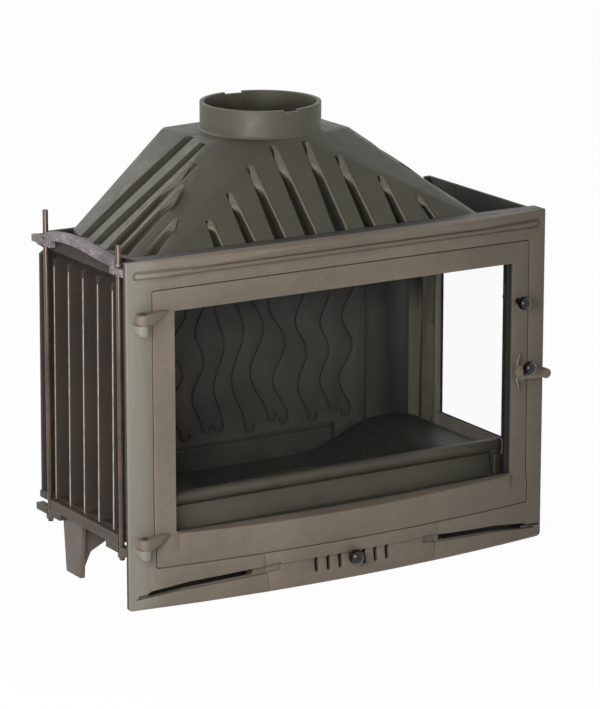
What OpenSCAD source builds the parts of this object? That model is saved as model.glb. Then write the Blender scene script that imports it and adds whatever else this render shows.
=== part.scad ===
// Cast-iron fireplace insert with a fluted smoke hood, a bowed front, a hinged glass
// door, a fixed side window, an ash drawer with an air register, and a ribbed side.
// The front faces -Y. Lengths in mm, angles in degrees.

/* [Front frame] */
// Width of the cast front frame
face_w = 700; // [700:5:740]
// Height of the cast front frame
face_h = 505; // [500:1:530]
// Thickness of the frame's skin
face_t = 10; // [8:0.5:12]
// How far the lower edge bows forward in the middle
lower_bow = 26; // [16:1:32]
// How far the cornice bows forward in the middle
cornice_bow = 27; // [16:1:32]
// Height of the cornice
cornice_h = 31; // [26:1:34]
// Radius of the roll along the lower edge
edge_roll = 8; // [4:1:10]

/* [Door] */
// Width of the frame beside the door's aperture
side_w = 33; // [32:1:38]
// Height of the frame above the door's aperture
head_h = 43; // [41:1:50]
// Height of the door's lower gap above the hearth
door_z = 60; // [58:1:62]
// Sideways offset of the door from the middle
door_x = 6; // [2:1:7]
// Gap round the door
door_gap = 1.6; // [1.2:0.1:2]
// Thickness of the door leaf
door_t = 17.5; // [16.5:0.5:18]
// Width of the stiles beside the glass opening
stile_w = 35; // [34:1:39]
// Height of the upper rail
top_rail = 33; // [32:1:42]
// Height of the lower rail above the door's lower gap
rail_h = 48; // [46:1:52]
// Thickness of the ceramic glass
glass_t = 4; // [4:0.5:5]
// Radius of the hinge pins
pin_r = 3.5; // [3:0.25:4]

/* [Ash drawer] */
// Half width of the drawer front at its top
drawer_half = 148; // [140:1:152]
// How much each side joint leans in towards the bottom
drawer_lean = 8.5; // [4:0.5:10]
// Number of air slots
slot_count = 7; // [5:2:9]
// Pitch of the air slots
slot_pitch = 20; // [18:1:22]
// Width of an air slot
slot_w = 6.4; // [5:0.2:7]
// Travel of the drawer
drawer_travel = 200; // [120:10:210]

/* [Firebox] */
// Depth of the firebox from the frame's face to its back wall
box_depth = 293; // [285:1:300]
// Wall of the castings
cast_t = 8; // [7:0.5:9]
// Height of the hearth plate's lower face
hearth_z = 93; // [92:1:95]
// Height of the firebox walls' top
wall_top = 491.4; // [488:0.2:493]
// Number of fins on the left side
fin_count = 7; // [5:1:7]
// Pitch of the fins
fin_pitch = 44.25; // [43:0.25:44.5]
// Thickness of a fin
fin_t = 6; // [5:0.5:7]
// Depth of the fins
fin_d = 22; // [16:1:24]
// Number of wavy grooves in the fireback
wave_count = 11; // [6:1:11]

/* [Smoke hood] */
// Height of the hood's upper face
hood_top = 627; // [610:1:640]
// Depth of the flutes at their foot
flute_d = 18; // [10:1:19]
// Depth of the side flutes at their foot
side_d = 13; // [8:1:14]
// Wall of the hood
hood_t = 8; // [7:0.5:9]
// Outer radius of the flue spigot
flue_r = 89; // [75:1:90]
// Wall of the flue spigot
flue_t = 6; // [5:0.5:7]
// Height of the flue spigot
flue_h = 40; // [30:1:60]
// Distance of the flue's axis behind the frame's face
flue_y = 214; // [212:1:214]

/* [Hidden] */
$fn = 48;

face_x = face_w / 2;
door_w = face_w - 2 * side_w;
door_h = face_h - head_h - door_z;
open_w = door_w - 2 * stile_w;
open_h = door_h - rail_h - top_rail;
core_back = 40;
corner_cut = 7;
bow_half = face_x - 2;
low_r = (bow_half * bow_half + lower_bow * lower_bow) / (2 * lower_bow);
top_r = (bow_half * bow_half + cornice_bow * cornice_bow) / (2 * cornice_bow);
cornice_z = face_h - cornice_h;

// Door aperture, leaf and glass opening
ap_l = door_x - door_w / 2;
ap_r = door_x + door_w / 2;
ap_top = door_z + door_h;
leaf_l = ap_l + door_gap;
leaf_r = ap_r - door_gap;
leaf_bot = door_z + door_gap;
leaf_top = ap_top - door_gap;
open_l = door_x + 1 - open_w / 2;
open_r = door_x + 1 + open_w / 2;
open_bot = door_z + rail_h;
open_top = open_bot + open_h;
rail_sag = 4;
blend_drop = 28;
lip_t = 8;
seat_w = 6;
seat_gap = 0.5;
land_w = 24;
land_y = door_t + 2;
ring_back = land_y + 6.5;
ring_t = 6;
rope_in = 3;
rope_w = 6;
rope_t = 5.4;

// Hinges
hinge_out = 22;
hinge_x = ap_l - hinge_out;
hinge_y = -13;
knuckle_r = 9.5;
arm_h = 15;
arm_reach = 47;
arm_z = [open_bot - 13, open_top - 10];
lug_h = 14.7;
arm_gap = 0.3;
pin_fit = 0.06;

// Latches
handle_x = leaf_r - 15.4;
handle_z = door_z + 204;
knob_x = leaf_r - 19.4;
knob_z = door_z + 312;
spindle_r = 4;
shaft_fit = 0.06;
cam_y = ring_back + 1;
cam_t = 4.2;
cam_len = 20;
cam_w = 8;
cam_r = 4.8;

// Ash drawer
panel_x = door_x - 1;
panel_gap = 1;
panel_t = 10;
step_z = 41;
step_d = 3;
slot_z0 = 19.5;
air_ball_r = 11.5;
air_ball_z = 35.5;
air_ball_out = 13.5;
stem_r = 2.6;
box_l = panel_x - 136;
box_r = panel_x + 136;
box_t = 3;
pan_gap = 3;
pan_t = 2;
register_t = 3;

// Firebox
side_out = face_x - 10;
fin_y0 = 22;
wall_l = -side_out + fin_d;
wall_in_l = wall_l + cast_t;
frame_out = face_x - 12;
frame_in = face_x - 50;
hearth_t = 10;
hearth_top = hearth_z + hearth_t;
floor_z = hearth_top + 1;
back_out = box_depth + cast_t;
rib_d = 15;
y_rear = back_out + rib_d;
hearth_front = ring_back + 0.4;
bowl_half = face_x - 110;
bowl_flat = bowl_half - 140;
bowl_low = 96;
bowl_high = 135;
corner_r = 40;
foot_y = box_depth - 94;

// Side window
win_rear = 212;
win_bot = 150;
win_top = 438;
sglass_x = frame_in + cast_t + 0.8;
post_y0 = ring_back + 1;

// Hood
hood_z = wall_top + 0.3;
rim_h = 8.3;
hood_base = hood_z + rim_h;
hood_l = -face_x + 28;
hood_r = face_x - 92;
hood_front = 30;
hood_back = back_out - 1;
flue_x = -10;

// Overall depth and the middle of it
front_most = -lower_bow - air_ball_out - air_ball_r + step_d;
y_mid = (front_most + y_rear) / 2;

module in_frame() {
  translate([0, -y_mid, 0])
    children();
}

// Extrusions along Y from y0 to y1 and along X from x0 to x1
module slab(y0, y1) {
  translate([0, y1, 0])
    rotate([90, 0, 0])
      linear_extrude(y1 - y0)
        children();
}

module bar_x(x0, x1) {
  translate([x0, 0, 0])
    rotate([90, 0, 90])
      linear_extrude(x1 - x0)
        children();
}

module box(p, q) {
  translate(p)
    cube([q[0] - p[0], q[1] - p[1], q[2] - p[2]]);
}

module rod_y(x, z, r, y0, y1) {
  translate([x, y1, z])
    rotate([90, 0, 0])
      cylinder(h = y1 - y0, r = r);
}

module rod_x(y, z, r, x0, x1) {
  translate([x0, y, z])
    rotate([0, 90, 0])
      cylinder(h = x1 - x0, r = r);
}

// Rectangle with rounded corners, in exact arcs
module round_rect(x0, z0, x1, z1, r) {
  translate([x0 + r, z0])
    square([x1 - x0 - 2 * r, z1 - z0]);
  translate([x0, z0 + r])
    square([x1 - x0, z1 - z0 - 2 * r]);
  for (x = [x0 + r, x1 - r])
    for (z = [z0 + r, z1 - r])
      translate([x, z])
        circle(r);
}

// Slab bowed round the bow's far axis, with a rolled lower edge
module bowed(r, bow, z0, z1, roll) {
  intersection() {
    translate([0, r - bow, 0])
      rotate_extrude($fn = 720)
        polygon(concat(
          [[r - 140, z0]],
          roll == 0 ? [[r, z0]]
            : [for (a = [0:15:90]) [r - roll + roll * sin(a), z0 + roll - roll * cos(a)]],
          [[r, z1], [r - 140, z1]]));
    box([-face_x, -bow - 1, z0 - 1], [face_x, core_back, z1 + 1]);
  }
}

// The front's outer form: flat, bowed below, with a bowed cornice above
module front_core() {
  box([-face_x, 0, edge_roll], [face_x, core_back, face_h]);
  intersection() {
    bowed(low_r, lower_bow, 0, open_bot, edge_roll);
    union() {
      bar_x(-face_x, face_x)
        polygon([[0, open_bot], [-open_bot / blend_drop * 9.1, 0], [core_back, 0],
          [core_back, open_bot]]);
      box([open_l, -lower_bow - 2, 0], [open_r, core_back, open_bot]);
    }
  }
  intersection() {
    bowed(top_r, cornice_bow, cornice_z, face_h, 0);
    bar_x(-face_x, face_x)
      polygon([[0, cornice_z], [-cornice_bow, face_h], [core_back, face_h],
        [core_back, cornice_z]]);
  }
}

// Long bead across the cornice, with round ends
bead_half = face_x - 12;
bead_low = face_h - 23.8;
bead_high = face_h - 14.8;
module bead_strip(grow) {
  round_rect(-bead_half - grow, bead_low - grow, bead_half + grow, bead_high + grow,
    (bead_high - bead_low) / 2 + grow - 0.01);
}

// Tapered air slot of one side, from the drawer's joint out to the frame's edge
scoop_out = face_x - 8;
scoop_in = drawer_half + panel_gap;
guard_y = 20;
function slot_top(x) = step_z + 0.5 - (x - scoop_in) * 19 / 199;
module both_slots(x0, x1, drop, h0, h1) {
  translate([panel_x, 0])
    for (m = [0, 1])
      mirror([m, 0])
        polygon([[x0, slot_top(x0) - drop], [x1, slot_top(x1) - drop],
          [x1, slot_top(x1) - h1], [x0, slot_top(x0) - h0]]);
}

// Outline of the drawer front, grown by g at its joints
module drawer_outline(g, z0, z1) {
  translate([panel_x, 0])
    polygon([[-drawer_half - g, z1], [drawer_half + g, z1],
      [drawer_half + g - drawer_lean * (z1 - z0) / door_z, z0],
      [-drawer_half - g + drawer_lean * (z1 - z0) / door_z, z0]]);
}

module hinge_lug(z1) {
  difference() {
    intersection() {
      union() {
        translate([hinge_x, hinge_y, z1 - lug_h])
          cylinder(h = lug_h, r = knuckle_r);
        box([hinge_x - knuckle_r, hinge_y, z1 - lug_h], [hinge_x + knuckle_r, 4, z1]);
      }
      slab(-30, 10)
        round_rect(hinge_x - knuckle_r, z1 - lug_h, hinge_x + knuckle_r, z1 + 20, 7);
    }
    translate([hinge_x, hinge_y, z1 - lug_h + 3])
      cylinder(h = lug_h, r = pin_r);
  }
}

module facade() color("#82796d") in_frame() {
  difference() {
    union() {
      // Skin of even wall
      difference() {
        front_core();
        translate([0, face_t, 0])
          front_core();
        box([-face_x - 1, core_back - 1, -1], [face_x + 1, core_back + 20, face_h + 1]);
      }
      // Top ledge behind the cornice
      intersection() {
        front_core();
        box([rod_x0 + 15, -cornice_bow - 1, face_h - face_t],
          [face_x, hood_front - 1, face_h]);
      }
      // Shelf that carries the front of the hood
      intersection() {
        translate([0, face_t / 2, 0])
          front_core();
        box([wall_in_l + 1, -cornice_bow, wall_top - 7.4],
          [hood_r - 8, hood_front + 8, wall_top]);
      }
      // Ring round the door with its sealing land
      intersection() {
        front_core();
        slab(-lower_bow - 2, ring_back)
          round_rect(ap_l - ring_t, door_z - ring_t, ap_r + ring_t, ap_top + ring_t, 8);
      }
      // Raised bead in two steps
      for (k = [[1.2, -1.2], [2.2, -2.6]])
        intersection() {
          translate([0, -k[0], 0])
            front_core();
          slab(-cornice_bow - 4, 2)
            bead_strip(k[1]);
        }
      // Deflectors behind the side air slots, open at the top
      for (x = [[panel_x - scoop_out + 8, panel_x - scoop_in - 12],
        [panel_x + scoop_in + 12, panel_x + scoop_out - 8]])
        intersection() {
          translate([0, face_t / 2, 0])
            front_core();
          difference() {
            box([x[0], -lower_bow, 3], [x[1], guard_y + 3, 44]);
            box([x[0] + 3, -lower_bow - 1, 6], [x[1] - 3, guard_y, 45]);
          }
        }
      for (z = arm_z)
        hinge_lug(z - arm_gap);
    }
    // Quirk round the bead, in two steps
    for (k = [[1, 2.4], [2.2, 1]])
      difference() {
        slab(-cornice_bow - 5, 8)
          difference() {
            bead_strip(k[1]);
            bead_strip(-1.2);
          }
        translate([0, k[0], 0])
          front_core();
      }
    // Rounded lower corners
    for (m = [0, 1])
      mirror([m, 0, 0])
        slab(-lower_bow, core_back + 1)
          difference() {
            translate([face_x - corner_cut, -1])
              square(corner_cut + 1);
            translate([face_x - corner_cut, corner_cut])
              circle(corner_cut);
          }
    // Door pocket and the firebox mouth
    slab(-lower_bow - 3, land_y)
      round_rect(ap_l, door_z, ap_r, ap_top, 4);
    slab(-1, ring_back + 1)
      round_rect(ap_l + land_w + 3, door_z + 32, ap_r - land_w, ap_top - land_w, 6);
    // Notches for the two latch cams
    box([ap_r - land_w - 8, land_y - 1, handle_z - 12],
      [handle_x + cam_w / 2 + 1.5, ring_back + 1, handle_z + cam_len + 5]);
    box([ap_r - land_w - 8, land_y - 1, knob_z - 12],
      [knob_x + cam_w / 2 + 1.5, ring_back + 1, knob_z + cam_len + 5]);
    // Seat of the drawer front, and the ash pan's mouth
    difference() {
      slab(-lower_bow - 3, ring_back + 20)
        drawer_outline(panel_gap, -1, door_z + 1);
      translate([0, panel_t + 0.6, 0])
        front_core();
    }
    box([panel_x - drawer_half + 16, -40, -1],
      [panel_x + drawer_half - 16, ring_back + 20, door_z - ring_t - 1]);
    // Scooped channels of the side air slots, and the slots through them
    difference() {
      slab(-lower_bow - 3, 10)
        both_slots(scoop_in - 20, scoop_out, 0, 13, 2.5);
      translate([0, face_t - 4, 0])
        front_core();
    }
    slab(-lower_bow - 3, 12)
      both_slots(scoop_in + 17, scoop_out - 20, 0.6, 9, 3);
  }
}

module hinge_pins() color("#3c3a36") in_frame() {
  for (z = arm_z) {
    translate([hinge_x, hinge_y, z - arm_gap - lug_h + 3])
      cylinder(h = lug_h - 3 + arm_gap + arm_h + 0.8, r = pin_r);
    translate([hinge_x, hinge_y, z + arm_h + 0.4])
      cylinder(h = 1, r = pin_r + 1);
  }
}

// One hinge arm of the door: knuckle, neck and a tongue that fades into the stile
module hinge_arm(z) {
  difference() {
    intersection() {
      union() {
        translate([hinge_x, hinge_y, z])
          cylinder(h = arm_h, r = knuckle_r);
        translate([0, 0, z])
          linear_extrude(arm_h)
            polygon([[hinge_x, hinge_y - knuckle_r], [hinge_x + 12, hinge_y - 7],
              [hinge_x + arm_reach, -3], [hinge_x + arm_reach, 3], [leaf_l, 4],
              [leaf_l, -6.5], [hinge_x, hinge_y + knuckle_r]]);
      }
      slab(-30, 10)
        translate([hinge_x, z])
          polygon([[-9.5, 4], [-8, 1.5], [-4, 0], [10, 0.4], [24, 3], [38, 7.5],
            [arm_reach, 11.5], [arm_reach - 1, 13], [36, 14.4], [20, arm_h], [-4, arm_h],
            [-8, 13.5], [-9.5, 11]]);
    }
    translate([hinge_x, hinge_y, z - 1])
      cylinder(h = arm_h + 2, r = pin_r + pin_fit);
  }
}

module glass_opening() {
  polygon(concat(
    [for (i = [-24:24]) [(open_l + open_r) / 2 + open_w / 2 * i / 24,
      open_bot - rail_sag * (1 - i * i / 576)]],
    [[open_r, open_top], [open_l, open_top]]));
}

module door_frame() color("#827868") in_frame() {
  difference() {
    union() {
      intersection() {
        front_core();
        slab(-lower_bow - 2, door_t)
          round_rect(leaf_l, leaf_bot, leaf_r, leaf_top, 3);
      }
      for (z = arm_z)
        hinge_arm(z);
      // Crescent ridge beside the handle
      intersection() {
        box([open_r + 4, -4, handle_z - 31], [handle_x + 2, 2, handle_z + 28]);
        difference() {
          rod_y(handle_x - 5.4 + 69.3, handle_z - 1.5, 69.3, -3.2, 2);
          rod_y(handle_x - 2 + 124, handle_z - 1.5, 124, -4, 3);
        }
      }
      rod_y(knob_x, knob_z, 9, -2.5, 1);
    }
    slab(-lower_bow - 4, door_t + 1)
      glass_opening();
    // Rebate of the glass and groove of the rope seal, from behind
    slab(lip_t, door_t + 1)
      round_rect(open_l - seat_w - seat_gap, open_bot - rail_sag - seat_w - seat_gap,
        open_r + seat_w + seat_gap, open_top + seat_w + seat_gap, 2);
    slab(door_t - 4.3, door_t + 1)
      difference() {
        round_rect(leaf_l + rope_in, leaf_bot + rope_in, leaf_r - rope_in,
          leaf_top - rope_in, 6);
        round_rect(leaf_l + rope_in + rope_w, leaf_bot + rope_in + rope_w,
          leaf_r - rope_in - rope_w, leaf_top - rope_in - rope_w, 3);
      }
    // Core of the bowed rail, open at the back
    intersection() {
      translate([0, 7, 0])
        front_core();
      box([open_l + 14, -lower_bow, leaf_bot + rope_in + rope_w + 4],
        [open_r - 14, door_t + 1, open_bot - rail_sag - seat_w - 5]);
    }
    rod_y(handle_x, handle_z, spindle_r + shaft_fit, -10, door_t + 1);
    rod_y(knob_x, knob_z, spindle_r + shaft_fit, -10, door_t + 1);
  }
}

glass_y = lip_t + 1.2;
module door_glass() color("#b9c0c0", 0.3) in_frame() {
  box([open_l - seat_w, glass_y, open_bot - rail_sag - seat_w],
    [open_r + seat_w, glass_y + glass_t, open_top + seat_w]);
}

module door_glass_seal() color("#2f2e2b") in_frame() {
  difference() {
    box([open_l - seat_w, lip_t, open_bot - rail_sag - seat_w],
      [open_r + seat_w, glass_y, open_top + seat_w]);
    box([open_l - 0.5, lip_t - 1, open_bot - rail_sag - 0.5],
      [open_r + 0.5, glass_y + 1, open_top + 0.5]);
  }
}

module door_rope_seal() color("#35332f") in_frame() {
  slab(door_t - 4.3, door_t - 4.3 + rope_t)
    difference() {
      round_rect(leaf_l + rope_in + 0.3, leaf_bot + rope_in + 0.3, leaf_r - rope_in - 0.3,
        leaf_top - rope_in - 0.3, 5.7);
      round_rect(leaf_l + rope_in + rope_w - 0.3, leaf_bot + rope_in + rope_w - 0.3,
        leaf_r - rope_in - rope_w + 0.3, leaf_top - rope_in - rope_w + 0.3, 3.3);
    }
}

// Centres of the glass clips behind the stiles and the upper rail
clip_in = 1.2;
clip_z = [open_bot + 60, open_top - 60];
clip_x = [open_l + 110, open_r - 110];
module at_clips() {
  for (z = clip_z) {
    translate([open_l - seat_w, door_t, z])
      children();
  }
  for (x = clip_x)
    translate([x, door_t, open_top + seat_w])
      rotate([0, 90, 0])
        children();
}

module glass_clips() color("#4a4741") in_frame() {
  at_clips()
    difference() {
      translate([-10, 0, -8])
        cube([14, 1.4, 16]);
      rod_y(-6, 0, 2.2, -1, 3);
    }
}

module glass_clip_screws() color("#8f8b84") in_frame() {
  at_clips()
    rod_y(-6, 0, 3.6, 1.4, 2);
}

module latch_cam(x, z) {
  difference() {
    union() {
      rod_y(x, z, cam_r, cam_y, cam_y + cam_t);
      box([x - cam_w / 2, cam_y, z], [x + cam_w / 2, cam_y + cam_t, z + cam_len]);
    }
    box([x - 2.5, cam_y - 1, z - 2.5], [x + 2.5, cam_y + cam_t + 1, z + 2.5]);
  }
}

// Shaft with a square inner end that carries a cam
module latch_shaft(x, z, y0) {
  rod_y(x, z, spindle_r, y0, cam_y);
  box([x - 2.5, cam_y - 1, z - 2.5], [x + 2.5, cam_y + cam_t, z + 2.5]);
  rod_y(x, z, 4, cam_y + cam_t, cam_y + cam_t + 1.6);
}

pad_x = face_x - 8.5;
handle_ball_r = 10;
knob_ball_r = 10;
module door_handle() color("#7d7467") in_frame() {
  latch_shaft(handle_x, handle_z, -12);
  rod_y(handle_x, handle_z, 11, -12, -4.3);
  rod_y(handle_x, handle_z, 7.5, -20, -12);
  // Arm with its round pad
  intersection() {
    slab(-20, -13)
      polygon([[handle_x, handle_z + 7.5], [pad_x, handle_z + 3], [pad_x, handle_z - 9],
        [handle_x, handle_z - 7.5]]);
    box([handle_x, -30, 0], [pad_x, 0, face_h]);
  }
  rod_y(pad_x, handle_z - 3, 7.5, -23, -12);
}

// Stem and ball grip of the handle
module handle_grip() color("#171614") in_frame() {
  translate([handle_x - 1, -17, handle_z - 1])
    rotate([45, 0, 0])
      cylinder(h = 17, r = 3.6);
  translate([handle_x - 1, -31, handle_z + 12])
    sphere(handle_ball_r);
}

module door_latch_cam() color("#3d3a35") in_frame() {
  latch_cam(handle_x, handle_z);
}

module upper_knob() color("#1d1c1a") in_frame() {
  latch_shaft(knob_x, knob_z, -8);
  rod_y(knob_x, knob_z, 5, -8, -2.8);
  rod_y(knob_x, knob_z, 3.6, -14, -8);
  translate([knob_x, -19, knob_z])
    sphere(knob_ball_r);
}

module upper_latch_cam() color("#3d3a35") in_frame() {
  latch_cam(knob_x, knob_z);
}

// Air slots of the drawer front, also cut in the register behind it
module air_slots(x, y0, y1) {
  for (i = [0:slot_count - 1]) {
    sx = x + (i - (slot_count - 1) / 2) * slot_pitch;
    if (abs(sx - x) > 1) {
      slab(y0, y1)
        translate([sx - slot_w / 2, slot_z0 + slot_w / 2])
          square([slot_w, step_z + 1 - slot_z0 - slot_w / 2]);
      rod_y(sx, slot_z0 + slot_w / 2, slot_w / 2, y0, y1);
    }
  }
}

panel_back = -lower_bow + panel_t + 14;
register_y = panel_back + 0.4;
air_x = panel_x - 3;
register_travel = slot_pitch / 2;
module ash_drawer_front() color("#7d7466") in_frame() {
  difference() {
    union() {
      intersection() {
        difference() {
          front_core();
          translate([0, panel_t, 0])
            front_core();
        }
        slab(-lower_bow - 2, 20)
          drawer_outline(0, 0.6, door_z);
      }
      // Flat pad behind the slots, on which the register slides
      intersection() {
        translate([0, panel_t / 2, 0])
          front_core();
        box([air_x - 88, -lower_bow, 10], [air_x + 98, panel_back, 52]);
      }
    }
    // Undercut below the upper strip, fading out downwards
    intersection() {
      translate([0, low_r - lower_bow, 0])
        rotate_extrude($fn = 720)
          polygon([[low_r - step_d, step_z], [low_r + 5, step_z], [low_r + 5, slot_z0],
            [low_r, slot_z0]]);
      box([-face_x, -lower_bow - 5, 0], [face_x, 20, face_h]);
    }
    // Ends of the side slots' scoops
    intersection() {
      slab(-lower_bow - 3, 10)
        both_slots(scoop_in - 28, scoop_in + 10, 0, 12, 12);
      difference() {
        box([-face_x, -60, 0], [face_x, 20, face_h]);
        translate([0, 6, 0])
          front_core();
      }
    }
    air_slots(air_x, -lower_bow - 3, panel_back + 1);
    // Window of the register's stem, hidden by the knob
    slab(-lower_bow - 3, panel_back + 1)
      translate([air_x - stem_r - 0.6, air_ball_z - stem_r - 0.6])
        square([register_travel + 2 * stem_r + 1.2, 2 * stem_r + 1.2]);
  }
}

module air_register() color("#403d38") in_frame() {
  difference() {
    box([air_x - 74, register_y, 14], [air_x + 74, register_y + register_t, 50]);
    air_slots(air_x, register_y - 1, register_y + register_t + 1);
    rod_y(air_x, air_ball_z, stem_r, register_y - 1, register_y + register_t + 1);
  }
}

module air_knob() color("#171614") in_frame() {
  ball_y = -lower_bow + step_d - air_ball_out;
  rod_y(air_x, air_ball_z, stem_r, ball_y, register_y + register_t + 1);
  rod_y(air_x, air_ball_z, 4.5, ball_y, -lower_bow - 1);
  translate([air_x, ball_y, air_ball_z])
    sphere(air_ball_r);
}

pan_y0 = register_y + register_t + 3;
pan_y1 = box_depth - 57;
module ash_pan() color("#6b6a66") in_frame() {
  x0 = box_l + box_t + pan_gap;
  x1 = box_r - box_t - pan_gap;
  difference() {
    union() {
      box([x0, pan_y0, 7], [x1, pan_y1, 46]);
      // Front tabs that hang the pan on the drawer front
      for (x = [air_x - 87, air_x + 86.5])
        box([x, panel_back, 12], [x + 10, pan_y0 + 1, 44]);
    }
    box([x0 + pan_t, pan_y0 + pan_t, 7 + pan_t], [x1 - pan_t, pan_y1 - pan_t, 50]);
  }
}

module ash_box() color("#4c4a45") in_frame() {
  y0 = ring_back + 0.4;
  box_y1 = pan_y1 + 10;
  difference() {
    box([box_l, y0, 3.6], [box_r, box_y1, hearth_z - 8]);
    box([box_l + box_t, y0 - 1, 3.6 + box_t], [box_r - box_t, box_y1 - box_t, hearth_z]);
  }
  // Runners under the pan
  for (x = [box_l + 30, box_r - 42])
    box([x, y0, 3.6 + box_t], [x + 12, pan_y1, 6.8]);
}

module left_side_casting() color("#3e3430") in_frame() {
  y_end = box_depth - 0.4;
  head_z = wall_top - 34;
  z0 = hearth_top + 0.6;
  last_y = fin_y0 + (fin_count - 1) * fin_pitch + fin_t / 2;
  difference() {
    union() {
      box([wall_l, ring_back + 0.6, z0], [wall_in_l, y_end, wall_top]);
      box([-side_out, face_t, z0], [ap_l - ring_t - 0.6, fin_y0 + fin_t / 2, wall_top]);
      box([-side_out, fin_y0, z0], [wall_l + 1, last_y, wall_top]);
    }
    // Bays between the fins, with arched heads
    for (i = [0:fin_count - 2]) {
      y0 = fin_y0 + i * fin_pitch + fin_t / 2;
      y1 = fin_y0 + (i + 1) * fin_pitch - fin_t / 2;
      box([-side_out - 1, y0, z0 + 4], [i == 0 ? wall_l - 5 : wall_l, y1, head_z]);
      rod_x((y0 + y1) / 2, head_z, (y1 - y0) / 2, -side_out - 1,
        i == 0 ? wall_l - 5 : wall_l);
    }
    // Draft of the fins' outer edges
    slab(-1, back_out + 1)
      polygon([[-side_out - 1, z0 + 4], [-side_out, z0 + 4], [-side_out + 3, head_z + 5],
        [-side_out - 1, head_z + 5]]);
    // Necks where the fins' heads lean in below the arches
    slab(fin_y0 - fin_t / 2, back_out + 1)
      polygon([[-side_out - 1, head_z + 2], [-side_out + 12, head_z + 11],
        [-side_out - 1, head_z + 20]]);
  }
}

module right_side_frame() color("#56524a") in_frame() {
  z0 = hearth_top + 0.6;
  y_end = box_depth - 0.4;
  web_z = wall_top - 37.4;
  difference() {
    union() {
      // Inner plate with the window
      box([frame_in, win_rear, z0], [frame_in + cast_t, y_end, web_z]);
      box([frame_in, ring_back + 0.6, z0], [frame_in + cast_t, win_rear + 1, win_bot]);
      box([frame_in, ring_back + 0.6, win_top], [frame_in + cast_t, win_rear + 1, web_z]);
      // Rear and lower flanges
      box([frame_in, y_end - cast_t, z0], [frame_out, y_end, web_z]);
      box([frame_in, ring_back + 0.6, z0], [frame_out, y_end, z0 + 6]);
      // Top web and the upstand beside the hood
      box([frame_in, ring_back + 0.6, web_z - cast_t], [frame_out, y_end, web_z]);
      box([frame_out - 4, face_t, web_z - 1], [frame_out, y_end, face_h - face_t - 0.3]);
      box([frame_out - 4, hood_front - 0.7, web_z - 1], [frame_out, y_end, face_h]);
      box([frame_out - 12, y_end - 5, web_z - 1], [frame_out, y_end, face_h]);
      // Front post, with the groove of the glass
      box([frame_in + 13.5, post_y0 + 7, z0], [frame_out, post_y0 + 13, web_z]);
      box([ap_r + ring_t + 0.6, face_t, z0], [frame_out, post_y0 + 13, web_z]);
      // Slim post that shows at the rear of the window
      translate([frame_in + 0.5, win_rear + 1, z0])
        cylinder(h = web_z - z0, r = 3);
    }
    // Sloping sill below the glass
    slab(ring_back, win_rear - 6)
      polygon([[frame_in - 1, win_bot - 22], [frame_in + 6, win_bot + 1],
        [frame_in - 1, win_bot + 1]]);
    // Relief for the latch cams' sweep
    for (z = [handle_z, knob_z])
      box([frame_in - 1, ring_back, z - cam_w], [ap_r + ring_t, cam_y + cam_t + 3,
        z + cam_len + 4]);
    for (z = screw_z)
      rod_x(screw_y, z, 2.6, frame_in - 1, frame_in + cast_t + 1);
    for (y = [70, 150])
      for (z = [win_bot - 7, win_top + 7])
        rod_x(y, z, 1.6, frame_in + 3, frame_in + cast_t + 1);
  }
}

screw_y = win_rear + 9.5;
screw_z = [win_bot - 12, (win_bot + win_top) / 2, win_top - 4];

module side_glass() color("#b9c0c0", 0.3) in_frame() {
  box([sglass_x, post_y0 + 8, win_bot - 5],
    [sglass_x + glass_t, win_rear + 14, win_top + 5]);
}

module side_glass_seal() color("#2f2e2b") in_frame() {
  difference() {
    box([frame_in + cast_t, post_y0 + 8, win_bot - 5],
      [sglass_x, win_rear + 14, win_top + 5]);
    box([frame_in, post_y0, win_bot + 0.5], [sglass_x + 1, win_rear - 0.5, win_top - 0.5]);
  }
}

module side_glass_clips() color("#4a4741") in_frame() {
  plate_x = sglass_x + glass_t;
  for (z = screw_z)
    union() {
      box([plate_x, win_rear + 9.5, z - 7], [plate_x + 1.6, win_rear + 30, z + 7]);
      box([frame_in + cast_t, win_rear + 16, z - 7], [plate_x + 1, win_rear + 30, z + 7]);
    }
}

module side_glass_screws() color("#a39d92") in_frame() {
  for (z = screw_z) {
    rod_x(screw_y, z, 2.2, frame_in - 0.2, frame_in + cast_t - 1);
    rod_x(screw_y, z, 4, frame_in - 2, frame_in - 0.01);
  }
}

module back_casting() color("#45413b") in_frame() {
  z0 = hearth_top + 0.6;
  box([wall_l - 6, box_depth, z0], [frame_out, back_out, wall_top]);
  for (x = [-290:58:300])
    box([x - 2.5, back_out - 1, z0 + 14], [x + 2.5, y_rear, wall_top - 14]);
  // Coved inner corners
  for (m = [0, 1])
    mirror([m, 0, 0]) {
      x1 = m == 0 ? frame_in - 0.4 : -wall_in_l - 0.4;
      difference() {
        box([x1 - corner_r, box_depth - corner_r, bowl_high + 0.4],
          [x1, box_depth + 1, wall_top - 38]);
        translate([x1 - corner_r, box_depth - corner_r, z0 - 1])
          cylinder(h = face_h, r = corner_r);
      }
    }
}

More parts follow.
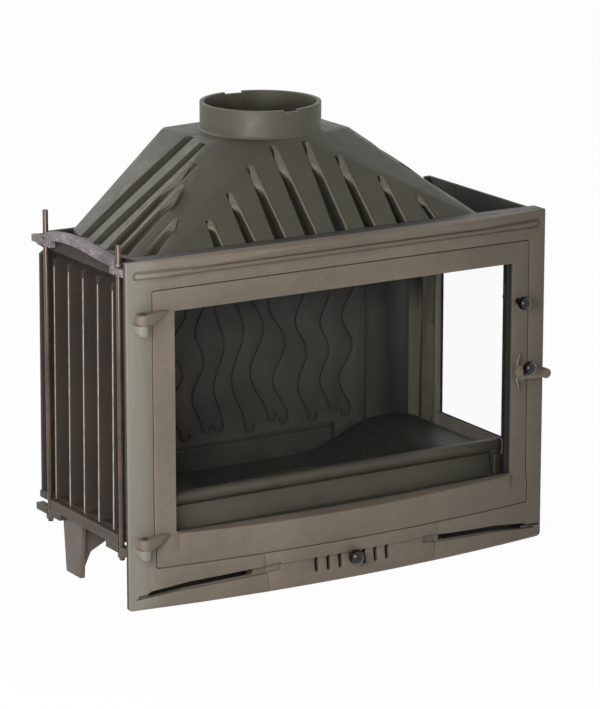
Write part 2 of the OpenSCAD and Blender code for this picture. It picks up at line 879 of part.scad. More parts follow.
// Wavy grooves of the fireback, each with a hook at its lower end
fire_l = -face_x + 130;
fire_r = face_x - 133;
fire_z = 133;
fire_top = wall_top - 91.4;
wave_w = 3.2;
wave_n = 40;
hook_r = 8;
function wave_low(i) = fire_z + 18 + 6 * (1 + sin(130 * i));
function wave_x(i, t) = fire_l + 12 + (i + 0.5) * (fire_r - fire_l - 24) / wave_count
  + (11 + 3 * sin(70 * i + 20)) * (cos(360 * (2.1 + 0.5 * sin(50 * i)) * t) - 0.5)
  + 6 * sin(40 * i) * (1 - cos(180 * t));
module wave_groove(i) {
  low = wave_low(i);
  side = i % 3 == 1 ? -1 : 1;
  polygon(concat(
    [for (k = [wave_n:-1:0]) [wave_x(i, k / wave_n) - side * wave_w / 2,
      low + (fire_top + 1 - low) * k / wave_n]],
    [for (a = [15:15:180]) [wave_x(i, 0) + side * (hook_r - (hook_r + wave_w / 2) * cos(a)),
      low - (hook_r + wave_w / 2) * sin(a)]],
    [[wave_x(i, 0) + side * (2 * hook_r + wave_w / 2), low + 5],
      [wave_x(i, 0) + side * (2 * hook_r - wave_w / 2), low + 5]],
    [for (a = [180:-15:15]) [wave_x(i, 0) + side * (hook_r - (hook_r - wave_w / 2) * cos(a)),
      low - (hook_r - wave_w / 2) * sin(a)]],
    [for (k = [0:wave_n]) [wave_x(i, k / wave_n) + side * wave_w / 2,
      low + (fire_top + 1 - low) * k / wave_n]]));
}

module fireback_plate() color("#4b4842") in_frame() {
  y0 = box_depth - 7;
  difference() {
    slab(y0, box_depth - 0.6)
      polygon(concat(
        [[fire_l, fire_top], [fire_l, bowl_z(fire_l) + 1]],
        [for (x = [fire_l + 10:10:fire_r - 5]) [x, bowl_z(x) + 1]],
        [[fire_r, bowl_z(fire_r) + 1], [fire_r, fire_top]]));
    slab(y0 - 1, y0 + 2.6)
      for (i = [0:wave_count - 1])
        wave_groove(i);
    // Line above the plain lower band, and the clearance slot of the lug
    box([fire_l - 1, y0 - 1, fire_z - 2], [fire_r + 1, y0 + 1.2, fire_z - 0.4]);
    box([158, y0 - 1, 100], [162, y0 + 4, fire_z + 6]);
  }
  box([162, y0 - 4, fire_z - 6], [192, y0 + 1, fire_z + 5]);
}

// Floor of the hearth's bowl: flat in the middle, rising smoothly to the sides
function bowl_z(x) = bowl_low + (bowl_high - bowl_low)
  * (1 - cos(180 * min(1, max(0, (abs(x) - bowl_flat) / (bowl_half - bowl_flat))))) / 2;

module hearth_base() color("#57524a") in_frame() {
  y0 = hearth_front;
  y1 = box_depth - 0.4;
  half = frame_in - 4;
  bowl_y0 = 52;
  difference() {
    union() {
      // Plate under the walls
      box([-side_out + 3, y0, hearth_z], [frame_out, back_out, hearth_top]);
      // Dished floor of even wall
      slab(bowl_y0 - 1, y1)
        polygon(concat(
          [[-half, bowl_high]],
          [for (x = [-bowl_half:10:bowl_half]) [x, bowl_z(x)]],
          [[half, bowl_high], [half, bowl_high - 9]],
          [for (x = [bowl_half:-10:-bowl_half]) [x, bowl_z(x) - 9]],
          [[-half, bowl_high - 9]]));
      // Front wall that carries the log bar, and the rim at the sides
      box([-half, y0, hearth_z], [half, bowl_y0, 132]);
      for (x = [-half, half - 8])
        box([x, bowl_y0, hearth_z], [x + 8, y1, bowl_high]);
    }
    // Middle of the plate is open below the dished floor's thickness
    box([-bowl_half - 30, bowl_y0, hearth_z - 10], [bowl_half + 30, y1 - 20, bowl_low - 9]);
    slab(bowl_y0, y1 - 0.01)
      polygon(concat(
        [[-half + 8, hearth_top + 20], [-half + 8, hearth_top + 40]],
        [for (x = [-bowl_half:10:bowl_half]) [x, max(bowl_z(x), bowl_low)]],
        [[half - 8, hearth_top + 40], [half - 8, bowl_high + 20], [-half + 8, bowl_high + 20]]));
    // Grate seat and ash opening
    box([grate_x - grate_w / 2 - 0.5, grate_y - 0.5, bowl_low - 5],
      [grate_x + grate_w / 2 + 0.5, grate_y + grate_l + 0.5, bowl_low + 1]);
    box([grate_x - grate_w / 2 + 8, grate_y + 8, 60],
      [grate_x + grate_w / 2 - 8, grate_y + grate_l - 8, 140]);
    // Sloping front above the door's lower edge
    bar_x(-half + 12, half - 12)
      polygon([[y0 - 1, 99.7], [y0 + 8.7, 99.7], [y0 + 21.4, 132.4], [y0 - 1, 132.4]]);
  }
}

grate_x = 5;
grate_y = 96;
grate_w = 160;
grate_l = 118;
module hearth_grate() color("#3a3733") in_frame() {
  difference() {
    box([grate_x - grate_w / 2, grate_y, bowl_low - 4.7],
      [grate_x + grate_w / 2, grate_y + grate_l, bowl_low + 3]);
    for (i = [-3:3])
      for (j = [0, 1])
        box([grate_x + i * 20 - 4.5, grate_y + 12 + j * 50, 50],
          [grate_x + i * 20 + 4.5, grate_y + 12 + j * 50 + 44, 140]);
  }
}

// Rounded bar that keeps the logs off the glass
module log_bar() color("#5f5a50") in_frame() {
  half = frame_in - 2;
  rod_x(hearth_front + 16.6, hearth_top + 39.5, 10, -half, half);
  for (x = [-half, half - 12])
    box([x, 34, 132.2], [x + 12, 50.6, 142]);
}

module ash_lip() color("#5a554c") in_frame() {
  half = frame_in - 18;
  bar_x(-half, half)
    polygon([[hearth_front + 2.4, 100], [hearth_front + 8.4, 100],
      [hearth_front + 20.9, 132], [hearth_front + 14.4, 132]]);
}

module smoke_baffle() color("#4a463f") in_frame() {
  baffle_y = box_depth - 173;
  bar_x(wall_in_l + corner_r + 2, hood_r - 10)
    polygon([[box_depth - 7, fire_top + 0.2], [box_depth - 1, fire_top + 0.2],
      [box_depth - 1, fire_top + 14], [box_depth - 7, fire_top + 14],
      [baffle_y, wall_top - 35.4], [baffle_y, wall_top - 45.4],
      [box_depth - 18, fire_top + 3]]);
}

// Foot and crest of each flute, as [x, y, z], and its depth at the foot (front) or at
// the crest (sides) as a share of the full depth
flutes = [
  [[-181, 30, 500], [-187, 57, 538], 0.7],
  [[-127, 30, 500], [-141, 79, 568], 0.9],
  [[-77, 30, 500], [-94, 101, 599], 1],
  [[-26, 30, 500], [-46, 117, 620], 1],
  [[25, 30, 500], [9, 117, 620], 1],
  [[73, 30, 500], [54, 100, 598], 1],
  [[126, 30, 500], [112, 78, 566], 0.9],
  [[177, 30, 500], [161, 55, 535], 0.8]];
side_flutes = [
  [[-313, 206, 500], [-134, 218, 625], 0.9],
  [[-321, 157, 500], [-140, 172, 621], 0.7],
  [[-322, 112, 500], [-168, 139, 602], 0.4],
  [[-322, 80, 500], [-200, 104, 581], 0.3],
  [[-300, 46, 500], [-228, 72, 543], 0.2]];
window_flutes = [
  [[-258, 206, 500], [-112, 218, 622], 0.7],
  [[-258, 157, 500], [-118, 172, 616], 0.6],
  [[-258, 112, 500], [-140, 138, 598], 0.4],
  [[-258, 76, 500], [-168, 108, 575], 0.3]];

// Turns the z axis along the line from p to q, starting at p
module along(p, q) {
  v = q - p;
  translate(p)
    rotate([0, acos(v[2] / norm(v)), atan2(v[1], v[0])])
      children();
}

// Cut of a front flute: a steep right wall, a narrow floor and a gentle left side
module flute_cut(f, d, grow) {
  foot = f[0] + [0, d * f[2] * 0.75, -d * f[2] * 0.65];
  tip = f[1] + (d * f[2] * 0.3 + grow) * [0, 0.75, -0.65];
  len = norm(foot - tip) + 30;
  along(tip + (tip - foot) * 0.02, foot)
    linear_extrude(len)
      polygon([[-40, 4 + grow], [0, grow], [0, -5 - grow], [-5, -9 - grow],
        [-40, -54 - grow]]);
}

// Cut of a side flute: a steep rear wall, a narrow floor and a gentle front side
module side_cut(f, d, grow) {
  foot = f[0] + [d * 0.55, 0, -d * 0.83];
  tip = f[1] + (d * f[2] + grow) * [0.55, 0, -0.83];
  len = norm(foot - tip) + 30;
  along(tip + (tip - foot) * 0.03, foot)
    linear_extrude(len)
      polygon([[-40, -5 - grow], [0, -grow], [0, 6 + grow], [-5, 10 + grow],
        [-40, 54 + grow]]);
}

module all_flutes(grow) {
  for (f = flutes)
    flute_cut(f, flute_d, grow);
  for (f = side_flutes)
    side_cut(f, side_d, grow);
  for (f = window_flutes)
    mirror([1, 0, 0])
      side_cut(f, side_d * 0.8, grow);
}

module ring(points, z, h) {
  translate([0, 0, z])
    linear_extrude(h)
      polygon(points);
}

module hood_form(g, z0, z_cap) {
  hull() {
    ring([[hood_l + g, hood_front + 26 + g * 0.4], [hood_l + g, hood_back - 162],
      [hood_l + 10 + g, hood_back - 90], [hood_l + 26 + g, hood_back - 42 - g * 0.5],
      [hood_l + 60 + g * 0.5, hood_back - 10 - g], [hood_l + 97, hood_back - g],
      [hood_r - 12 - g, hood_back - g], [hood_r - g, hood_back - 12 - g],
      [hood_r - g, hood_front + 10 + g], [hood_r - 10 - g, hood_front + g],
      [hood_l + 47 + g * 0.5, hood_front + g]], z0, 0.1);
    translate([flue_x, flue_y])
      ring([[g - 124, g - 54], [g - 114, g - 64], [108 - g, g - 64], [118 - g, g - 54],
        [118 - g, 74 - g], [108 - g, 84 - g], [g - 114, 84 - g], [g - 124, 74 - g]],
        z_cap - 2.1, 0.1);
    translate([flue_x, flue_y, z_cap - 0.1])
      cylinder(h = 0.1, r = flue_r + 3 - g, $fn = 96);
  }
}

module hood() color("#4b4b3e") in_frame() {
  difference() {
    union() {
      hood_form(0, hood_base, hood_top);
      // Rim that seats on the walls
      ring([[hood_l, hood_front + 22], [hood_l, hood_back - 160],
        [hood_l + 10, hood_back - 88], [hood_l + 26, hood_back - 40],
        [hood_l + 60, hood_back - 8], [hood_l + 97, hood_back], [hood_r, hood_back],
        [hood_r, hood_front], [hood_l + 22, hood_front]], hood_z, rim_h + 0.2);
      // Skirt and flange on the window side
      box([hood_r - 8, hood_front + 10, wall_top - 37], [hood_r, box_depth - 1, hood_base]);
      box([hood_r - 8, hood_front + 10, wall_top - 37], [frame_in + 8, box_depth - 1,
        wall_top - 30]);
    }
    // Flutes, which end at the plain rim
    intersection() {
      all_flutes(0);
      box([-face_x, 0, hood_base - 0.5], [face_x, box_depth + 60, hood_top + 20]);
    }
    // Hollow, kept at an even wall below the flutes
    difference() {
      union() {
        hood_form(hood_t + 2, hood_z - 1, hood_top - hood_t);
        ring([[hood_l + 14, hood_front + 30], [hood_l + 14, hood_back - 162],
          [hood_l + 22, hood_back - 95], [hood_l + 36, hood_back - 50],
          [hood_l + 67, hood_back - 20], [hood_l + 100, hood_back - 9],
          [hood_r - 8, hood_back - 9], [hood_r - 8, hood_front + 10],
          [hood_l + 32, hood_front + 10]], hood_z - 60, 62);
      }
      all_flutes(6.5);
    }
    translate([flue_x, flue_y, hood_top - 30])
      cylinder(h = 60, r = flue_r - flue_t, $fn = 96);
  }
}

module flue_collar() color("#69675c") in_frame() {
  difference() {
    translate([flue_x, flue_y, hood_top])
      rotate_extrude($fn = 96)
        polygon([[flue_r - flue_t, 0], [flue_r + 3, 0], [flue_r + 1, 1.5], [flue_r, 5],
          [flue_r, flue_h], [flue_r - flue_t, flue_h]]);
    // Two opposite notches in the rim, the rear one wider
    for (n = [[88, 30], [270, 23]])
      translate([flue_x, flue_y, hood_top + flue_h])
        rotate([0, 0, n[0]])
          translate([flue_r - flue_t / 2, 0, 0])
            cube([30, n[1], 6], center = true);
  }
}

rod_x0 = -side_out - 4.4;
rod_ys = [33.5, 253.5];
rod_r = 4;
top_lug_z = wall_top - 9;
bot_lug_z = hearth_z - 14;
module tie_rods() color("#5a4a40") in_frame() {
  for (i = [0, 1])
    translate([rod_x0, rod_ys[i], bot_lug_z - 10])
      cylinder(h = face_h + 19 + i * 10 - bot_lug_z + 10, r = rod_r);
}

module tie_rod_nuts() color("#4a4038") in_frame() {
  for (y = rod_ys)
    for (z = [bot_lug_z - 6, top_lug_z + 10])
      translate([rod_x0, y, z])
        difference() {
          rotate([0, 0, 30])
            cylinder(h = 6, r = 6.4, $fn = 6);
          translate([0, 0, -1])
            cylinder(h = 8, r = rod_r + 0.2);
        }
}

// Clamp bar: an arched band between the rods
band_y0 = rod_ys[0] + 7;
band_y1 = rod_ys[1] - 7;
function band_z(t, crest) = crest * sin(180 * pow(t, 1.5));
module clamp_band(x1, z0, z1, crest) {
  bar_x(rod_x0 - 4.6, x1)
    polygon(concat(
      [[band_y0, z0]],
      [for (i = [0:12]) [band_y0 + (band_y1 - band_y0) * i / 12, z1 + band_z(i / 12, crest)]],
      [[band_y1, z0]],
      [for (i = [12:-1:0]) [band_y0 + 8 + (band_y1 - band_y0 - 16) * i / 12,
        z0 + band_z(i / 12, crest)]]));
}

// Lug with an open hook round its tie rod
module clamp_lug(x1, y0, y1, z, rod_y0) {
  difference() {
    box([rod_x0 - 4.6, y0, z], [x1, y1, z + 10]);
    translate([rod_x0, rod_y0, z - 1])
      cylinder(h = 12, r = rod_r + 0.3);
    box([rod_x0 - 9, rod_y0, z - 1], [rod_x0, rod_y0 + rod_r + 0.3, z + 11]);
  }
}

module top_clamp_bar() color("#a89e94") in_frame() {
  x1 = -side_out + 4;
  clamp_band(x1, wall_top + 0.3, wall_top + 12, 7);
  clamp_lug(-side_out - 0.3, 12, 52, top_lug_z, rod_ys[0]);
  clamp_lug(-side_out - 0.3, 232, 290, top_lug_z, rod_ys[1]);
}

module bottom_clamp_bar() color("#a0958b") in_frame() {
  x1 = -side_out + 2.7;
  clamp_lug(x1, 14, 74, bot_lug_z, rod_ys[0]);
  clamp_lug(x1, 216, 290, bot_lug_z, rod_ys[1]);
  box([rod_x0 - 3, band_y0 + 2, bot_lug_z + 9], [x1, band_y1, hearth_top]);
}

// Cast foot: an outer plate with an inner web
module foot_shape(x_out) {
  bar_x(x_out, x_out + 8)
    polygon([[foot_y - 22, 0], [foot_y + 22, 0], [foot_y + 31, hearth_z],
      [foot_y - 29, hearth_z]]);
  slab(foot_y - 13, foot_y - 5)
    polygon([[x_out, 0], [x_out + 6, 0], [x_out + 23, 35], [x_out + 53, 50],
      [x_out + 118, hearth_z], [x_out, hearth_z]]);
}

foot_x = -face_x + 13;
module foot_left() color("#9c938b") in_frame() {
  foot_shape(foot_x);
}

module foot_right() color("#9c938b") in_frame() {
  mirror([1, 0, 0])
    foot_shape(foot_x);
}

facade();
hinge_pins();
door_frame();
door_glass();
door_glass_seal();
door_rope_seal();
glass_clips();
glass_clip_screws();
door_handle();
handle_grip();
door_latch_cam();
upper_knob();
upper_latch_cam();
ash_drawer_front();
ash_pan();
air_register();
air_knob();
ash_box();
left_side_casting();
right_side_frame();
side_glass();
side_glass_seal();
side_glass_clips();
side_glass_screws();
back_casting();
fireback_plate();
hearth_base();
hearth_grate();
log_bar();
ash_lip();
smoke_baffle();
hood();
flue_collar();
tie_rods();
tie_rod_nuts();
top_clamp_bar();
bottom_clamp_bar();
foot_left();
foot_right();
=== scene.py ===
import math

import bpy
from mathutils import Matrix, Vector


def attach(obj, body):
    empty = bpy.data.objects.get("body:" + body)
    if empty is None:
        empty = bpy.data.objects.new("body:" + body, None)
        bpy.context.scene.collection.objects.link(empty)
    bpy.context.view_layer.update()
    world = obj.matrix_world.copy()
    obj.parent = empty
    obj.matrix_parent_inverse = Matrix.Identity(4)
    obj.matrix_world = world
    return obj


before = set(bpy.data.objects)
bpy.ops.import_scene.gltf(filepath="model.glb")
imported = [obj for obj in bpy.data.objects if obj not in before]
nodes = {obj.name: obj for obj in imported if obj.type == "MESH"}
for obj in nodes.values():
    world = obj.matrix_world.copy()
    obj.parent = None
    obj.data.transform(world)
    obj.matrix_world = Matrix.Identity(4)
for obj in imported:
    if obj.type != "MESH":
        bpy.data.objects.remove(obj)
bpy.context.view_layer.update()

mm = 0.001
white = (1, 1, 1, 1)
scene = bpy.context.scene
scene.view_settings.view_transform = "Standard"


def linear(hexColour):
    out = []
    for i in (1, 3, 5):
        c = int(hexColour[i:i + 2], 16) / 255
        out.append(c / 12.92 if c <= 0.04045 else ((c + 0.055) / 1.055) ** 2.4)
    return (*out, 1.0)


def addNode(tree, kind, settings=None, links=None):
    node = tree.nodes.new("ShaderNode" + kind)
    for key, value in (settings or {}).items():
        if isinstance(key, int) or key in node.inputs:
            node.inputs[key].default_value = value
        else:
            setattr(node, key, value)
    for key, socket in (links or {}).items():
        tree.links.new(socket, node.inputs[key])
    return node


# Each helper from here to mixColour takes sockets and gives one back
def calculate(tree, operation, first, second):
    return addNode(tree, "Math", {"operation": operation}, {0: first, 1: second}).outputs[0]


def spread(tree, value, start, end, low=0.0, high=1.0):
    limits = {"From Min": start, "From Max": end, "To Min": low, "To Max": high}
    return addNode(tree, "MapRange", limits, {"Value": value}).outputs[0]


def noise(tree, place, size, detail, roughness=0.5):
    settings = {"Scale": 1 / (size * mm), "Detail": detail, "Roughness": roughness}
    return addNode(tree, "TexNoise", settings, {"Vector": place}).outputs["Fac"]


# Colours are hex strings or sockets; 6, 7 and 2 are the colour sockets of a Mix node
def mixColour(tree, share, under, over):
    settings, links = {"data_type": "RGBA"}, {0: share}
    for socket, colour in ((6, under), (7, over)):
        if isinstance(colour, str):
            settings[socket] = linear(colour)
        else:
            links[socket] = colour
    return addNode(tree, "Mix", settings, links).outputs[2]


# 1 on rays that show a surface to the camera, by itself, in a mirror or through glass
def seenRays(tree):
    path = addNode(tree, "LightPath").outputs
    direct = calculate(tree, "MAXIMUM", path["Is Camera Ray"], path["Is Transmission Ray"])
    return calculate(tree, "MAXIMUM", direct, path["Is Glossy Ray"])


def newMaterial(name):
    material = bpy.data.materials.new(name)
    material.use_nodes = True
    material.node_tree.nodes.clear()
    return material, material.node_tree


def finishMaterial(tree, surface):
    addNode(tree, "OutputMaterial", None, {"Surface": surface.outputs[0]})


def addObject(name, data):
    thing = bpy.data.objects.new(name, data)
    scene.collection.objects.link(thing)
    return thing


def pointAt(thing, place, target):
    thing.location = place
    thing.rotation_mode = "QUATERNION"
    thing.rotation_quaternion = (Vector(target) - Vector(place)).to_track_quat("-Z", "Y")


# Closed mesh over rows of points in mm, each row an outline with the same count of points.
# Its faces are the first row's cap, the last row's, then the walls row by row
def loftMesh(name, rows):
    across = len(rows[0])
    points = [[part * mm for part in point] for row in rows for point in row]
    total = len(points)
    faces = [tuple(range(across)), tuple(range(total - 1, total - across - 1, -1))]
    for start in range(0, total - across, across):
        for j in range(across):
            k = (j + 1) % across
            faces.append((start + j, start + across + j, start + across + k, start + k))
    mesh = bpy.data.meshes.new(name)
    mesh.from_pydata(points, [], faces)
    return mesh


def between(start, end, t):
    return start + (end - start) * t


def smooth(t):
    t = min(max(t, 0), 1)
    return t * t * (3 - 2 * t)


# Camera at the photograph's angle, solved from the front frame's corners and the spigot
view = {
    "place": (-2.6325, -4.3837, 1.6175),
    "target": (0.0921, 0.1374, 0.2581),
    "lens": 215.9,
    "sensor": 36.0,
    "farthest": 100,
}
cameraData = bpy.data.cameras.new("photoCamera")
cameraData.lens = view["lens"]
cameraData.sensor_width = view["sensor"]
cameraData.sensor_fit = "HORIZONTAL"
cameraData.clip_end = view["farthest"]
camera = addObject("photoCamera", cameraData)
pointAt(camera, view["place"], view["target"])
scene.camera = camera

# Key from the left lights the ribbed side and the front, fill evens out the front's right
# half, back gives the hood's top and the spigot their light rims
studio = {
    "lamps": {
        "key": {"place": (-1.25, -1.1, 0.75), "size": 0.7, "power": 17},
        "fill": {"place": (2.8, -3.2, 1.4), "size": 2.4, "power": 4},
        "back": {"place": (-0.8, 2.2, 2.6), "size": 1.6, "power": 26},
    },
    "aim": (0, 0, 0.3),
    "ambient": 0.17,
    "floorSize": 40.0,
    "floorDrop": 0.0005,       # keeps the floor clear of the feet's soles
    "floorShare": 0.97,        # how much of the floor is plain white to the camera
}
for key, values in studio["lamps"].items():
    lamp = bpy.data.lights.new(key + "Lamp", "AREA")
    lamp.size = values["size"]
    lamp.energy = values["power"]
    pointAt(addObject(key + "Lamp", lamp), values["place"], studio["aim"])

# World: plain white to the camera and in reflections, and a dim even light on surfaces
world = bpy.data.worlds.new("studio")
scene.world = world
world.use_nodes = True
tree = world.node_tree
tree.nodes.clear()
ambient = addNode(tree, "Background", {"Color": white, "Strength": studio["ambient"]})
backdrop = addNode(tree, "Background", {"Color": white, "Strength": 1.0})
mixed = addNode(tree, "MixShader", None,
                {0: seenRays(tree), 1: ambient.outputs[0], 2: backdrop.outputs[0]})
addNode(tree, "OutputWorld", None, {"Surface": mixed.outputs[0]})

# Floor: white to the camera and in reflections, and it keeps a light shadow
floorMaterial, tree = newMaterial("white studio paper")
share = addNode(tree, "Math", {"operation": "MULTIPLY", 1: studio["floorShare"]},
                {0: seenRays(tree)})
paper = addNode(tree, "BsdfDiffuse", {"Color": linear("#f2f2f0")})
glow = addNode(tree, "Emission", {"Color": white, "Strength": 1.0})
mixed = addNode(tree, "MixShader", None,
                {0: share.outputs[0], 1: paper.outputs[0], 2: glow.outputs[0]})
finishMaterial(tree, mixed)
half = studio["floorSize"] / 2
floorMesh = bpy.data.meshes.new("floor")
floorMesh.from_pydata([(-half, -half, 0), (half, -half, 0), (half, half, 0), (-half, half, 0)],
                      [], [(0, 1, 2, 3)])
floorMesh.materials.append(floorMaterial)
floor = addObject("floor", floorMesh)
floor.location.z = -studio["floorDrop"]
print("stage: camera, lamps and floor")

# What all castings share. A span holds the two input values that a contrast runs between
iron = {
    "cloudSize": 90, "cloudSpan": (0.35, 0.65), "noiseSpan": (0.3, 0.7),
    "edgeSpan": (0.985, 0.80),       # cosine between rounded and true normal: lighter edges, worn and painted highlight
    "openSpan": (0.45, 0.8),         # open sky: only edges that stand free get the lighter colour
    "shadeSpan": (0.1, 0.75),         # open sky: creases get painted shade
    # Colour of the painted shade in creases
    "shadeColour": "#1d1b18",
    # Bright lines painted along the ribs as a highlight
    "litLineSpan": (0.35, 0.6), "litLineLeast": 0.6,
    "glossSwing": 0.06, "samples": 6, "refraction": 1.5,
}


# A bright line along the outer face of each rib, a painted highlight, broken up by the mottle
def paintedHighlightLines(tree, place, mottle, lineLook):
    faces = addNode(tree, "SeparateXYZ", None, {"Vector": place}).outputs
    first, half = lineLook["first"], lineLook["pitch"] / 2
    across = addNode(tree, "Math", {"operation": "WRAP", 1: (first + half) * mm,
                                    2: (first - half) * mm}, {0: faces["Y"]}).outputs[0]
    share = spread(tree, mottle, *iron["litLineSpan"], iron["litLineLeast"])
    for value, test, limit in ((faces["X"], "LESS_THAN", lineLook["beyond"]),
                               (faces["Y"], "LESS_THAN", lineLook["last"]),
                               (faces["Z"], "LESS_THAN", lineLook["top"]),
                               (across, "COMPARE", first)):
        inside = addNode(tree, "Math", {"operation": test, 1: limit * mm,
                                        2: lineLook["width"] / 2 * mm}, {0: value})
        share = calculate(tree, "MULTIPLY", share, inside.outputs[0])
    return share


# Painted light or shade that grows along an axis, up to "before" in y
def paintedLightShare(tree, place, paintedLight):
    along = addNode(tree, "SeparateXYZ", None, {"Vector": place}).outputs
    share = spread(tree, along[paintedLight["axis"]], paintedLight["from"] * mm,
                   (paintedLight["from"] + paintedLight["fade"]) * mm)
    if "before" in paintedLight:
        near = addNode(tree, "Math", {"operation": "LESS_THAN", 1: paintedLight["before"] * mm},
                       {0: along["Y"]})
        share = calculate(tree, "MULTIPLY", share, near.outputs[0])
    return share


# Sand-cast iron under heat-resistant paint: matte, with the sand's fine grain, clouds of
# slightly different tone, painted shade in the creases and lighter edges, partly wear and
# partly painted highlight
def castIron(name, look):
    material, tree = newMaterial(name)
    place = addNode(tree, "TexCoord").outputs["Object"]
    cloud = noise(tree, place, iron["cloudSize"], 3.0, 0.55)
    mottle = noise(tree, place, look["mottle"], 3.0)
    grit = noise(tree, place, look["grit"], 2.0, 0.7)
    tone = mixColour(tree, spread(tree, cloud, *iron["cloudSpan"]), look["dark"], look["base"])
    spots = spread(tree, mottle, *iron["noiseSpan"], 1 - look["spots"], 1 + look["spots"])
    grains = spread(tree, grit, *iron["noiseSpan"], 1 - look["grain"], 1 + look["grain"])
    shade = calculate(tree, "MULTIPLY", spots, grains)
    tone = addNode(tree, "VectorMath", {"operation": "SCALE"},
                   {0: tone, "Scale": shade}).outputs[0]

    rounded = addNode(tree, "Bevel", {"samples": iron["samples"],
                                      "Radius": look["edge"] * mm}).outputs[0]
    flatNormal = addNode(tree, "NewGeometry").outputs["Normal"]
    agree = addNode(tree, "VectorMath", {"operation": "DOT_PRODUCT"},
                    {0: rounded, 1: flatNormal}).outputs["Value"]
    edge = spread(tree, agree, *iron["edgeSpan"], 0.0, look["scuffAndLitAmount"])
    free = addNode(tree, "AmbientOcclusion", {
        "samples": iron["samples"], "Distance": look["shadeReach"] * mm,
        "only_local": True}).outputs["AO"]
    # Lighter edges: partly wear, partly painted highlight
    scuffedAndLit = calculate(tree, "MULTIPLY", edge, spread(tree, free, *iron["openSpan"]))
    tone = mixColour(tree, scuffedAndLit, tone, look["scuffedAndLit"])
    # Painted highlight lines along the ribs
    if "litRibLines" in look:
        tone = mixColour(tree, paintedHighlightLines(tree, place, mottle, look["litRibLines"]), tone,
                         look["scuffedAndLit"])
    # Painted light and shade along an axis
    for paintedLight in look.get("paintedLights", []):
        tone = mixColour(tree, paintedLightShare(tree, place, paintedLight), tone, paintedLight["colour"])
    # Painted shade: creases darkened by how little open sky they see
    shadedShare = spread(tree, free, *iron["shadeSpan"], look["creaseShade"], 0.0)
    tone = mixColour(tree, shadedShare, tone, iron["shadeColour"])

    gloss = spread(tree, mottle, *iron["noiseSpan"], look["rough"] - iron["glossSwing"],
                   look["rough"] + iron["glossSwing"])
    waves = addNode(tree, "Bump", {"Distance": look["waves"] * mm},
                    {"Height": mottle, "Normal": rounded}).outputs[0]
    sand = addNode(tree, "Bump", {"Distance": look["sand"] * mm},
                   {"Height": grit, "Normal": waves}).outputs[0]
    surface = addNode(tree, "BsdfPrincipled",
                      {"Metallic": look["metal"], "IOR": iron["refraction"]},
                      {"Base Color": tone, "Roughness": gloss, "Normal": sand})
    finishMaterial(tree, surface)
    return material


# Sizes in mm: mottle and grit are the noise's, edge the lighter rim's (partly wear, partly
# painted highlight), the creases' reach sets how far their painted shade spreads, waves and
# sand the bumps' heights. The sand's grains are 0.4 mm, drawn coarser to show
ironLook = {
    "base": "#85796a", "dark": "#7b7063", "scuffedAndLit": "#a3988a",
    "mottle": 16, "grit": 1.5, "spots": 0.06, "grain": 0.15,
    "edge": 1.6, "scuffAndLitAmount": 0.5, "shadeReach": 22, "creaseShade": 0.55,
    "rough": 0.56, "waves": 0.35, "sand": 0.12, "metal": 0.0,
}

# Front and door: warm grey, paler and cooler on the left as a painted sheen, darker on the
# right as painted shade, and darker still on the backs and reveals as painted shade
frontIron = castIron("painted cast iron, front", {
    **ironLook, "paintedLights": [
        {"axis": "X", "from": -296, "fade": -34, "colour": "#8e897d"},
        {"axis": "X", "from": 200, "fade": 240, "colour": "#5b5548"},
        {"axis": "Y", "from": -130, "fade": 1.5, "colour": "#33302b"}]})
leafIron = castIron("painted cast iron, door", {
    **ironLook, "paintedLights": [
        {"axis": "X", "from": 150, "fade": 330, "colour": "#5b5548"},
        {"axis": "Y", "from": -131, "fade": 1.5, "colour": "#34312c"}]})
handleIron = castIron("painted cast iron, handle", ironLook)
# Pale copy of the iron for the door's crescent, a painted highlight
highlightIron = castIron("cast iron painted pale as a highlight", {
    **ironLook, "base": "#b3aa9c", "dark": "#a1988a", "scuffedAndLit": "#cfc7ba", "rough": 0.4,
    "metal": 0.3})

# Hood and spigot: olive grey with lighter edges, partly wear and partly painted highlight;
# the hood's crests are a lighter copy as painted highlight, its flutes' floors a dark copy as
# painted shade
collarIron = castIron("painted cast iron, flue spigot", {
    **ironLook, "base": "#5c594a", "dark": "#504e40", "scuffedAndLit": "#928d79", "rough": 0.5})
hoodIron = castIron("painted cast iron, hood", {
    **ironLook, "base": "#484636", "dark": "#3d3b2e", "scuffedAndLit": "#85816c", "waves": 0.4,
    "rough": 0.5, "scuffAndLitAmount": 0.75, "edge": 2.0, "creaseShade": 0.8, "shadeReach": 30})
# Lighter copy of the hood's iron for the crests and leaves, a painted highlight
litCrestIron = castIron("hood iron in a lit copy, painted highlight on the crests", {
    **ironLook, "base": "#66634f", "dark": "#595645", "scuffedAndLit": "#b9b49f", "rough": 0.5,
    "scuffAndLitAmount": 0.9, "edge": 1.4, "creaseShade": 0.6, "shadeReach": 18})
# Dark copy of the hood's iron for the flutes' floors, painted shade
shadedGrooveIron = castIron("hood iron in a dark copy, painted shade in the flutes", {
    **ironLook, "base": "#2c2b23", "dark": "#24231d", "scuffedAndLit": "#3b3a30", "rough": 0.65})

# Ribbed side: brown black, with a bright line painted along each rib's outer face as a
# highlight
sideIron = castIron("oiled cast iron, ribbed side", {
    **ironLook, "base": "#33281f", "dark": "#2a2019", "scuffedAndLit": "#ddd2c6", "scuffAndLitAmount": 0.1,
    "edge": 0.8, "rough": 0.65,
    "litRibLines": {"beyond": -335.5, "first": -112, "pitch": 44.25, "width": 2.6, "last": 130,
               "top": 452}})

